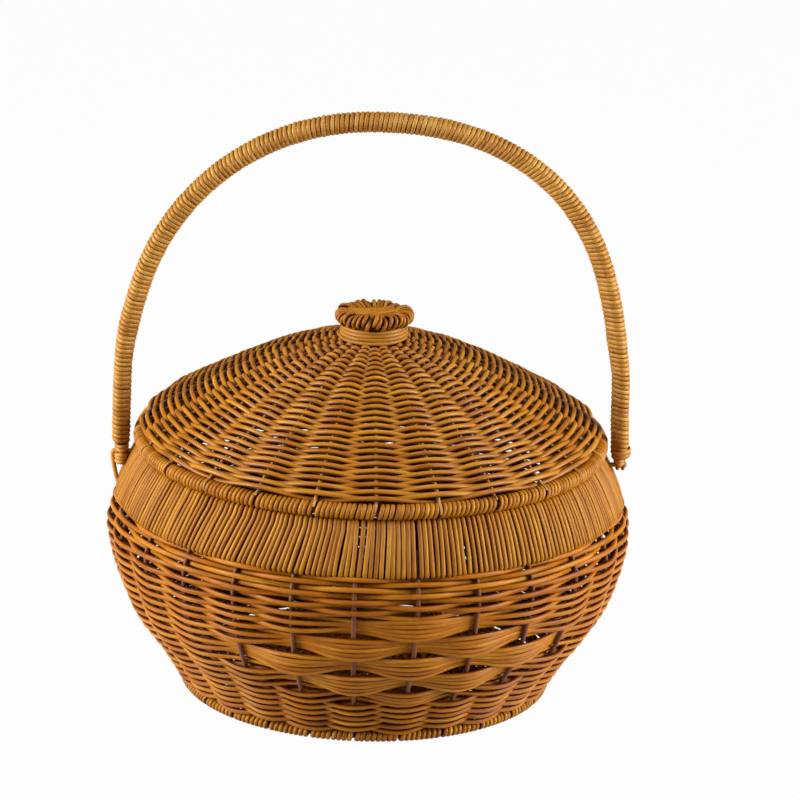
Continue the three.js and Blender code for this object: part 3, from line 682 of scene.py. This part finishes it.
# Collar and foot
def build_collar():
    skin = STAKE_R + COLLAR_CLEAR + COLLAR_SKIN
    back = skin + 2 * HOOP_R + GAP
    bend = TOP_ROLL_R - COLLAR_SKIN
    rise = np.linspace(COLLAR_FOOT_Z + COLLAR_HEM, MOUTH_Z - COLLAR_SHOULDER, 10)
    outside = skin_section(WALL.at_height(rise), skin)
    turn = np.linspace(COLLAR_ROLL_END, math.pi - COLLAR_ROLL_END, 8)
    top = np.stack([MOUTH_RADIUS + bend * np.cos(turn), MOUTH_Z + bend * np.sin(turn)], 1)
    inside = skin_section(WALL.at_height(rise[::-1]), -back)
    out, lift = np.array(COLLAR_UNDERSIDE).T
    r, z, nr, nz = WALL.at_height(np.full(len(out), COLLAR_FOOT_Z + GAP))
    under = np.stack([r + nr * out, z + lift], 1)
    section = np.concatenate([outside, top, inside, under])

    counts = rng.choice(COLLAR_WRAPS, STAKES)
    level = np.linspace(0, 1, len(outside))
    lines, normals, radii = [], [], []
    for azimuth in spread(counts, STEP, PATTERN_AZIMUTH, COLLAR_FILL):
        turned = (azimuth + math.pi) % TURN - math.pi
        sway = rng.normal(0, COLLAR_SWAY)
        for size, middle, width in COLLAR_LEANS:
            sway += size * math.exp(-(((turned - middle) / width) ** 2))
        bow = rng.normal(0, COLLAR_BOW)
        outer = sway * level + bow * np.sin(math.pi * level)
        lean = np.concatenate([outer, np.full(len(top), sway), sway * level[::-1], np.zeros(len(under))])
        line, normal = meridian_loop(azimuth, section, lean)
        lines.append(line)
        normals.append(normal)
        radii.append(np.full(len(section), rng.normal(1, COLLAR_WRAP_VARIETY)))
    nodes = ["collar_outer_wrap", "collar_inner_wrap"]
    strands(
        "collar_wraps", "basket", binding, lines, COLLAR_WRAP_R, nodes,
        normals=normals, flat=COLLAR_WRAP_FLAT, radii=radii,
    )


def build_foot():
    section, turn = tube_section(FOOT_RADIUS, FOOT_Z, FOOT_TALL, FOOT_WIDE, 12)
    azimuths = spread([FOOT_WRAPS] * STAKES, STEP, PATTERN_AZIMUTH, FOOT_FILL)
    lines, normals = wrapped_ring(azimuths, section, turn, FOOT_WRAP_SLANT)
    strands(
        "foot_wraps", "basket", binding, lines, FOOT_WRAP_R, ["foot_ring_wrap"],
        sides=6, normals=normals, flat=FOOT_WRAP_FLAT,
    )
    core = ring(FOOT_RADIUS, FOOT_Z)
    strands("foot_core", "basket", core_bark, [core], FOOT_CORE_R, ["foot_ring_core"])


def build_hoops():
    r, z, nr, nz = WALL.at_height(np.array(COLLAR_FOOT_Z + HOOP_R))
    inward = STAKE_R + HOOP_R + GAP
    hoops = [ring(r - nr * inward, z - nz * inward), ring(MOUTH_RADIUS, MOUTH_Z)]
    nodes = ["collar_bottom_hoop", "collar_top_hoop"]
    strands("collar_hoops", "basket", core_bark, hoops, HOOP_R, nodes)


# Base panel
def base_height(r):
    return BASE_EDGE_Z + BASE_CROWN * np.cos(r / BASE_CROWN_RADIUS * math.pi / 2)


def build_base():
    lines = []
    for i in range(STAKES):
        r = np.linspace(BASE_SPOKE_STARTS[i % 2], BASE_RADIUS, 20)
        lines.append(around(PATTERN_AZIMUTH + i * STEP, r, base_height(r)))
    strands("base_spokes", "basket", stake_bark, lines, STAKE_R, closed=False, sides=6)

    per_stake = 6
    s = np.arange(STAKES * per_stake) / per_stake
    azimuth = PATTERN_AZIMUTH + s * STEP
    lines = []
    for row, radius in enumerate(np.arange(BASE_ROW_START, BASE_RADIUS, BASE_ROW_PITCH)):
        swing = BASE_ROW_SWING * np.cos(math.pi * s) * (1 if row % 2 else -1)
        z = base_height(radius) + swing * min(1.0, radius / BASE_FULL_SWING_R)
        lines.append(around(azimuth, radius + waves(azimuth, BASE_ROW_WANDER), z))
    strands("base_rows", "basket", woven, lines, BASE_ROW_R, ["base_weave"], sides=6)

    bars = []
    for k in range(-3, 4):
        t = np.linspace(-BASE_BAR_HALF, BASE_BAR_HALF, 9)
        side = np.full_like(t, k * BASE_BAR_PITCH)
        bars.append(np.stack([t, side, base_height(np.abs(t)) + BASE_BAR_R], 1))
        bars.append(np.stack([side, t, base_height(np.abs(t)) - BASE_BAR_R], 1))
    strands("base_cross", "basket", stake_bark, bars, BASE_BAR_R, closed=False, sides=6)


# Lid
def build_lid():
    full = DOME.length[-1]
    per_rib = 8
    s = np.arange(RIBS * per_rib) / per_rib
    azimuth = RIB_AZIMUTH + s * RIB_STEP
    lines, normals, radii = [], [], []
    for row, station in enumerate(np.arange(LID_ROW_START, full, LID_ROW_PITCH)):
        if DOME.at_length(station)[0] < LID_EYE_R:
            break
        swing = (RIB_R + LID_STRAND_R * LID_FLAT) * (1 if row % 2 == 0 else -1)
        where = DOME.at_length(station + waves(azimuth, LID_ROW_WANDER, (3, 7, 12, 19)))
        offset = swing * np.cos(math.pi * s) + waves(azimuth, LID_ROW_RIPPLE, (24, 11))
        lines.append(set_off(azimuth, where, offset))
        normals.append(around(azimuth, where[2], where[3]))
        radii.append(np.full(len(s), rng.normal(1, LID_ROW_VARIETY)))
    strands(
        "lid_rows", "lid", lid_cane, lines, LID_STRAND_R, ["lid_weave"],
        normals=normals, flat=LID_FLAT, radii=radii,
    )

    # Each rib runs down the dome and its thinned end turns over the rim's wrapping
    body = np.stack(DOME.at_length(np.linspace(full - 0.5, 1.0, 46))[:2], 1)
    over = LID_RIM_R - 0.2
    lines, radii = [], []
    for i in range(RIBS):
        turn = np.linspace(RIB_BEND_START, rng.choice(RIB_END_ANGLES), 9)
        end = np.stack([LID_RIM_RADIUS + over * np.cos(turn), LID_RIM_Z + over * np.sin(turn)], 1)
        line = np.concatenate([body, end])
        azimuth = RIB_AZIMUTH + i * RIB_STEP + rng.normal(0, RIB_WANDER)
        lines.append(around(azimuth, line[:, 0], line[:, 1]))
        radii.append(np.concatenate([np.ones(len(body)), np.linspace(*RIB_END_THIN, len(end))]))
    strands(
        "lid_ribs_round", "lid", rib_cane, lines, RIB_R, ["lid_ribs"],
        closed=False, radii=radii,
    )


def build_rim():
    section, turn = tube_section(LID_RIM_RADIUS, LID_RIM_Z, RIM_SECTION_R, RIM_SECTION_R, 16)
    azimuths = spread([RIM_WRAPS] * RIBS, RIB_STEP, RIB_AZIMUTH, RIM_FILL)
    lines, normals = wrapped_ring(azimuths, section, turn, RIM_WRAP_SLANT)
    strands(
        "lid_rim_wraps", "lid", trim_cane, lines, RIM_WRAP_R, ["lid_rim_wrap"],
        normals=normals, flat=RIM_WRAP_FLAT,
    )
    core = ring(LID_RIM_RADIUS, LID_RIM_Z)
    strands("lid_rim_rod", "lid", core_bark, [core], RIM_CORE_R, ["lid_rim_core"], sides=10)


# Knob
def build_neck():
    t = np.linspace(0, NECK_TURNS, int(NECK_TURNS * 40))
    z = NECK_FOOT_Z + t * NECK_PITCH
    flare = NECK_FLARE * np.exp(-((z - NECK_FOOT_Z) / NECK_FLARE_RISE))
    line = around(math.pi + TURN * t, NECK_R + flare + NECK_RIPPLE * np.sin(5 * t), z)
    strands(
        "knob_neck", "lid", handle_cane, [line], NECK_STRAND_R, ["knob_neck_winding"],
        closed=False,
    )
    t = np.linspace(0, 1, 12)
    stem = np.stack([0 * t, 0 * t, STEM_FOOT_Z + t * STEM_HEIGHT], 1)
    strands(
        "knob_stem", "lid", core_bark, [stem], STEM_R, ["knob_core"],
        closed=False, sides=32,
    )


def build_button():
    """A button of loops round a ring, with a woven centre, tipped a little down at the back."""
    hoop = ring(BUTTON_RING_R, BUTTON_RING_Z, 64)
    strands("knob_hoop", "lid", core_bark, [hoop], BUTTON_RING_HALF, ["knob_ring"])

    lines, normals = [], []
    for i in range(BUTTON_LOOPS):
        azimuth = TURN * (i + rng.normal(0, BUTTON_SPACE_WANDER)) / BUTTON_LOOPS
        section, turn = tube_section(BUTTON_RING_R, BUTTON_RING_Z, BUTTON_TALL, BUTTON_WIDE, 14)
        section[:, 0] -= BUTTON_PINCH * np.clip(-np.cos(turn), 0, 1)
        section *= 1 + rng.normal(0, BUTTON_SIZE_WANDER)
        lean = BUTTON_SLANT * np.sin(turn) + rng.normal(0, BUTTON_LEAN_WANDER)
        line, normal = meridian_loop(azimuth, section, lean)
        line[:, 2] -= BUTTON_TIP * line[:, 1]
        lines.append(line)
        normals.append(normal)
    strands(
        "knob_loops", "lid", trim_cane, lines, BUTTON_STRAND_R, ["knob_button_winding"],
        normals=normals, flat=BUTTON_FLAT,
    )

    # Three layers of short canes, each turned from the one over it
    lines = []
    for angle in CENTRE_ANGLES:
        for k in range(-3, 4):
            side = k * CENTRE_PITCH + rng.normal(0, CENTRE_WANDER)
            half = math.sqrt(max(CENTRE_REACH**2 - side**2, CENTRE_LEAST_HALF**2))
            x = np.linspace(-half, half, 15)
            y = side + 0.5 * np.sin(x / 5 + k)
            hollow = CENTRE_HOLLOW * np.cos(x / half * math.pi / 2)
            z = BUTTON_RING_Z + CENTRE_RISE - hollow - angle + rng.normal(0, CENTRE_WANDER)
            across = x * math.cos(angle) - y * math.sin(angle)
            back = x * math.sin(angle) + y * math.cos(angle)
            lines.append(np.stack([across, back, z - BUTTON_TIP * back], 1))
    strands(
        "knob_centre", "lid", lid_cane, lines, CENTRE_STRAND_R, ["knob_centre_weave"],
        closed=False,
    )


# Handle
def arch_line():
    """The handle's middle line (x, z), from the left foot over to the right one, and its length."""
    angle = np.linspace(math.pi, 0, 241)
    power = np.where(angle < math.pi / 2, 2 / ARCH_POWER_RIGHT, 2 / ARCH_POWER)
    rise = OVERALL_HEIGHT - HANDLE_CROWN_HALF - HANDLE_SPRING_Z
    x = HANDLE_HALF_SPAN * np.sign(np.cos(angle)) * np.abs(np.cos(angle)) ** power
    z = HANDLE_SPRING_Z + rise * np.abs(np.sin(angle)) ** power
    leg = np.linspace(HANDLE_FOOT_Z, HANDLE_SPRING_Z, 20)[:-1]
    x = np.concatenate([np.full(len(leg), -HANDLE_HALF_SPAN), x, np.full(len(leg), HANDLE_HALF_SPAN)])
    z = np.concatenate([leg, z, leg[::-1]])
    x = x + np.where(x < 0, np.interp(z, *LEFT_LEAN), -np.interp(z, *RIGHT_LEAN))
    for _ in range(ARCH_SMOOTHING):
        x[1:-1] = (x[:-2] + 2 * x[1:-1] + x[2:]) / 4
    line = np.stack([x, z], 1)
    return line, run_length(line)


ARCH, ARCH_LENGTH = arch_line()


def on_arch(s):
    """Point, outward direction and fullness of the arch at a length along it."""

    def point_at(s):
        return np.stack([np.interp(s, ARCH_LENGTH, ARCH[:, k]) for k in (0, 1)], -1)

    near = 2.0
    point = point_at(s)
    along = point_at(s + near) - point_at(s - near)
    along /= np.linalg.norm(along, axis=-1)[..., None]
    out = np.stack([-along[..., 1], along[..., 0]], -1)
    return point, out, np.interp(point[..., 1], *FULLNESS)


def section_at(s, section):
    """A section of points (out, back) set on the arch."""
    point, out, fuller = on_arch(s)
    x = point[..., 0] + out[..., 0] * section[..., 0] * fuller
    z = point[..., 1] + out[..., 1] * section[..., 0] * fuller
    return np.stack([x, section[..., 1] * fuller, z], -1)


def rod_middles():
    """Direction and middle of each of the three rods in the handle's section."""
    reach = (HANDLE_ROD_R + HANDLE_ROD_CLEAR) / math.cos(math.pi / 6)
    angles = [HANDLE_TILT - math.pi / 2 + i * TURN / 3 for i in range(3)]
    return [(angle, np.array([math.cos(angle), math.sin(angle)]) * reach) for angle in angles]


def bundle_section(clear):
    """The line round the three rods, at a clearance from them."""
    points = []
    for angle, middle in rod_middles():
        turn = angle + np.linspace(-math.pi / 3, math.pi / 3, 6)
        points.append(middle + (HANDLE_ROD_R + clear) * np.stack([np.cos(turn), np.sin(turn)], 1))
    return np.concatenate(points)


def handle_winding():
    """The wraps along the arch: lines, normals and thicknesses."""
    section = bundle_section(HANDLE_WRAP_LIFT)
    step = np.roll(section, -1, axis=0) - np.roll(section, 1, axis=0)
    step /= np.linalg.norm(step, axis=1)[:, None]
    side = np.stack([step[:, 1], -step[:, 0]], 1)
    turn = np.arctan2(section[:, 1], section[:, 0])
    lean = HANDLE_WRAP_LEAN[0] * np.cos(turn) + HANDLE_WRAP_LEAN[1] * np.sin(turn)
    wrapped = ARCH_LENGTH[-1] - 2 * HANDLE_WRAP_END
    count = int(wrapped / HANDLE_WRAP_PITCH)
    lines, normals, radii = [], [], []
    for i in range(count):
        s = HANDLE_WRAP_END + (i + 0.5) * wrapped / count + rng.normal(0, HANDLE_WRAP_WANDER)
        lines.append(section_at(s + lean, section * rng.normal(1, HANDLE_BUNDLE_VARIETY)))
        out = on_arch(s)[1]
        normals.append(np.stack([out[0] * side[:, 0], side[:, 1], out[1] * side[:, 0]], 1))
        radii.append(np.full(len(section), rng.normal(1, HANDLE_WRAP_VARIETY)))
    return lines, normals, radii


def foot_bindings(points):
    """The sleeves below the two feet, which clear the ears, and the knot round the right foot."""
    turn = np.arange(points) * TURN / points
    lines, normals, radii = [], [], []
    for side, half, heights in SLEEVES:
        for z in heights:
            clear = math.copysign(max(0.0, SLEEVE_EAR_CLEAR - abs(z - PIVOT_Z)), z - PIVOT_Z)
            x = side * (SLEEVE_X + half * np.cos(turn))
            lines.append(np.stack([x, SLEEVE_BACK * np.sin(turn), z + clear * np.cos(turn) ** 2], 1))
            normal = np.stack([side * SLEEVE_BACK * np.cos(turn), 3.0 * np.sin(turn), 0 * turn], 1)
            normals.append(normal / np.linalg.norm(normal, axis=1)[:, None])
            radii.append(np.full(points, SLEEVE_THICKNESS))
    for z in KNOT_HEIGHTS:
        x = KNOT_X + KNOT_HALF[0] * np.cos(turn)
        lines.append(np.stack([x, KNOT_HALF[1] * np.sin(turn), z + KNOT_SLANT * np.cos(turn)], 1))
        normals.append(np.stack([np.cos(turn), np.sin(turn), 0 * turn], 1))
        radii.append(np.full(points, KNOT_THICKNESS))
    return lines, normals, radii


def build_handle():
    winding = handle_winding()
    bindings = foot_bindings(len(winding[0][0]))
    lines, normals, radii = [a + b for a, b in zip(winding, bindings)]
    strands(
        "handle_wraps", "handle", handle_cane, lines, HANDLE_WRAP_R, ["handle_wrap"],
        sides=6, normals=normals, flat=HANDLE_WRAP_FLAT, radii=radii,
    )

    s = np.linspace(HANDLE_ROD_END, ARCH_LENGTH[-1] - HANDLE_ROD_END, 260)
    rods = [section_at(s, np.broadcast_to(middle, (len(s), 2))) for _, middle in rod_middles()]
    nodes = ["handle_rod_front", "handle_rod_outer", "handle_rod_inner"]
    strands("handle_rods", "handle", core_bark, rods, HANDLE_ROD_R, nodes, closed=False)


def build_ear(side, word):
    """A cane out of the collar for the handle to turn on. The left one bends down and back in."""
    skin = STAKE_R + GAP + EAR_OFF_STAKE
    places = [WALL.at_height(np.array(height)) for height in (PIVOT_Z, EAR_FOOT_Z)]
    top, foot = [r + nr * skin for r, z, nr, nz in places]
    out = EAR_REACH
    line = [(top - 2.0, PIVOT_Z), (HANDLE_HALF_SPAN, PIVOT_Z), (out - 1.4, PIVOT_Z)]
    if side < 0:
        line += [(out - 0.3, PIVOT_Z - 0.8), (out, PIVOT_Z - 2.2), (out - 0.6, PIVOT_Z - 7)]
        line += [(foot + 1.6, EAR_FOOT_Z), (foot - 0.6, EAR_FOOT_Z - 4)]
    else:
        line += [(out - 1.0, PIVOT_Z)]
    bent = smooth_line(line, 6)
    points = np.stack([side * bent[:, 0], np.zeros(len(bent)), bent[:, 1]], 1)
    strands(
        f"ear_{word}_cane", "basket", handle_cane, [points], EAR_R, [f"ear_{word}"],
        closed=False, sides=10,
    )


def build_eye_loop(side, word, thick):
    """The handle's strand, once and a half round the ear, with both ends up into the foot."""
    loop_r = EAR_R + EYE_LOOP_CLEAR + thick
    start = HANDLE_HALF_SPAN - EYE_LOOP_PITCH * EYE_LOOP_TURNS / 2
    turn = np.linspace(0, EYE_LOOP_TURNS, 37)
    a = -TURN * turn
    x = side * (start + EYE_LOOP_PITCH * turn)
    loop = np.stack([x, loop_r * np.cos(a), PIVOT_Z + loop_r * np.sin(a)], 1)
    inside_foot = HANDLE_FOOT_Z + 1.0
    first = np.linspace([loop[0, 0], loop[0, 1], inside_foot], loop[0], 5)[:-1]
    last = np.linspace(loop[-1], [loop[-1, 0], loop[-1, 1], inside_foot], 5)[1:]
    points = np.concatenate([first, loop, last])
    strands(
        f"loop_{word}_cane", "handle", handle_cane, [points], thick,
        [f"handle_loop_{word}"], closed=False,
    )


build_stakes()
build_wall()
build_collar()
build_foot()
build_hoops()
build_base()
build_lid()
build_rim()
build_neck()
build_button()
build_handle()
for side, word, thick in EYE_LOOPS:
    build_ear(side, word)
    build_eye_loop(side, word, thick)


# Floor, light and camera, in metres and degrees
FLOOR_COLOUR = (0.4, 0.4, 0.4, 1)
FLOOR_GLOW = 0.97
FLOOR_DROP = 0.0004
BACKDROP_COLOUR = (0.97, 0.97, 0.97, 1)
AMBIENT = 0.122
CAMERA_PLACE = (0, -3.0, 1.1382)
CAMERA_PITCH = 17.9
CAMERA_ROLL = 1.68
CAMERA_LENS = 247.5
CAMERA_SHIFT = 0.035


def stage_material(name, colour, glow):
    """A matt floor that takes shadows and that the camera and reflections see as nearly white."""
    material = bpy.data.materials.new(name)
    material.use_nodes = True
    nodes, links = material.node_tree.nodes, material.node_tree.links
    shader = nodes["Principled BSDF"]
    shader.inputs["Base Color"].default_value = colour
    shader.inputs["Roughness"].default_value = 0.9
    emission = nodes.new("ShaderNodeEmission")
    emission.inputs["Color"].default_value = (1, 1, 1, 1)
    path = nodes.new("ShaderNodeLightPath")
    seen = nodes.new("ShaderNodeMath")
    seen.operation = "MAXIMUM"
    links.new(path.outputs["Is Camera Ray"], seen.inputs[0])
    links.new(path.outputs["Is Glossy Ray"], seen.inputs[1])
    share = nodes.new("ShaderNodeMath")
    share.operation = "MULTIPLY"
    share.inputs[1].default_value = glow
    links.new(seen.outputs[0], share.inputs[0])
    blend = nodes.new("ShaderNodeMixShader")
    links.new(share.outputs[0], blend.inputs[0])
    links.new(shader.outputs[0], blend.inputs[1])
    links.new(emission.outputs[0], blend.inputs[2])
    links.new(blend.outputs[0], nodes["Material Output"].inputs["Surface"])
    return material


def studio_world(ambient_strength, seen_colour):
    """Soft light from all round, and a nearly white backdrop to the camera."""
    world = bpy.data.worlds.new("studio")
    bpy.context.scene.world = world
    world.use_nodes = True
    nodes, links = world.node_tree.nodes, world.node_tree.links
    ambient = nodes["Background"]
    ambient.inputs["Color"].default_value = (1, 1, 1, 1)
    ambient.inputs["Strength"].default_value = ambient_strength
    bright = nodes.new("ShaderNodeBackground")
    bright.inputs["Color"].default_value = seen_colour
    bright.inputs["Strength"].default_value = 1.0
    path = nodes.new("ShaderNodeLightPath")
    blend = nodes.new("ShaderNodeMixShader")
    links.new(path.outputs["Is Camera Ray"], blend.inputs[0])
    links.new(ambient.outputs[0], blend.inputs[1])
    links.new(bright.outputs[0], blend.inputs[2])
    links.new(blend.outputs[0], nodes["World Output"].inputs["Surface"])


def softbox(name, place, target, size, power):
    light = bpy.data.lights.new(name, "AREA")
    light.shape = "RECTANGLE"
    light.size, light.size_y = size
    light.energy = power
    lamp = bpy.data.objects.new(name, light)
    bpy.context.scene.collection.objects.link(lamp)
    lamp.location = place
    lamp.rotation_euler = (Vector(target) - Vector(place)).to_track_quat("-Z", "Y").to_euler()


def front_camera():
    """The photograph's camera, in front of the basket and looking down on it, with a slight roll."""
    data = bpy.data.cameras.new("camera")
    data.sensor_width = 36
    data.lens = CAMERA_LENS
    data.shift_x = CAMERA_SHIFT
    data.clip_end = 50
    camera = bpy.data.objects.new("camera", data)
    bpy.context.scene.collection.objects.link(camera)
    camera.location = CAMERA_PLACE
    camera.rotation_euler = (math.radians(90 - CAMERA_PITCH), 0, 0)
    camera.rotation_euler.rotate_axis("Z", math.radians(CAMERA_ROLL))
    bpy.context.scene.camera = camera


bpy.ops.mesh.primitive_plane_add(size=16, location=(0, 0, -FLOOR_DROP))
floor = bpy.context.object
floor.name = "floor"
floor.data.materials.append(stage_material("floor_white", FLOOR_COLOUR, FLOOR_GLOW))

studio_world(AMBIENT, BACKDROP_COLOUR)
softbox("softbox_left", (-1.5, -0.4, 0.62), (0, 0, 0.12), (0.9, 1.0), 39)
softbox("softbox_right", (1.5, -0.3, 0.62), (0, 0, 0.12), (0.9, 1.0), 36)
softbox("softbox_top", (0, 0.1, 1.7), (0, 0, 0.1), (1.4, 1.2), 6)
front_camera()
bpy.context.scene.view_settings.view_transform = "Standard"

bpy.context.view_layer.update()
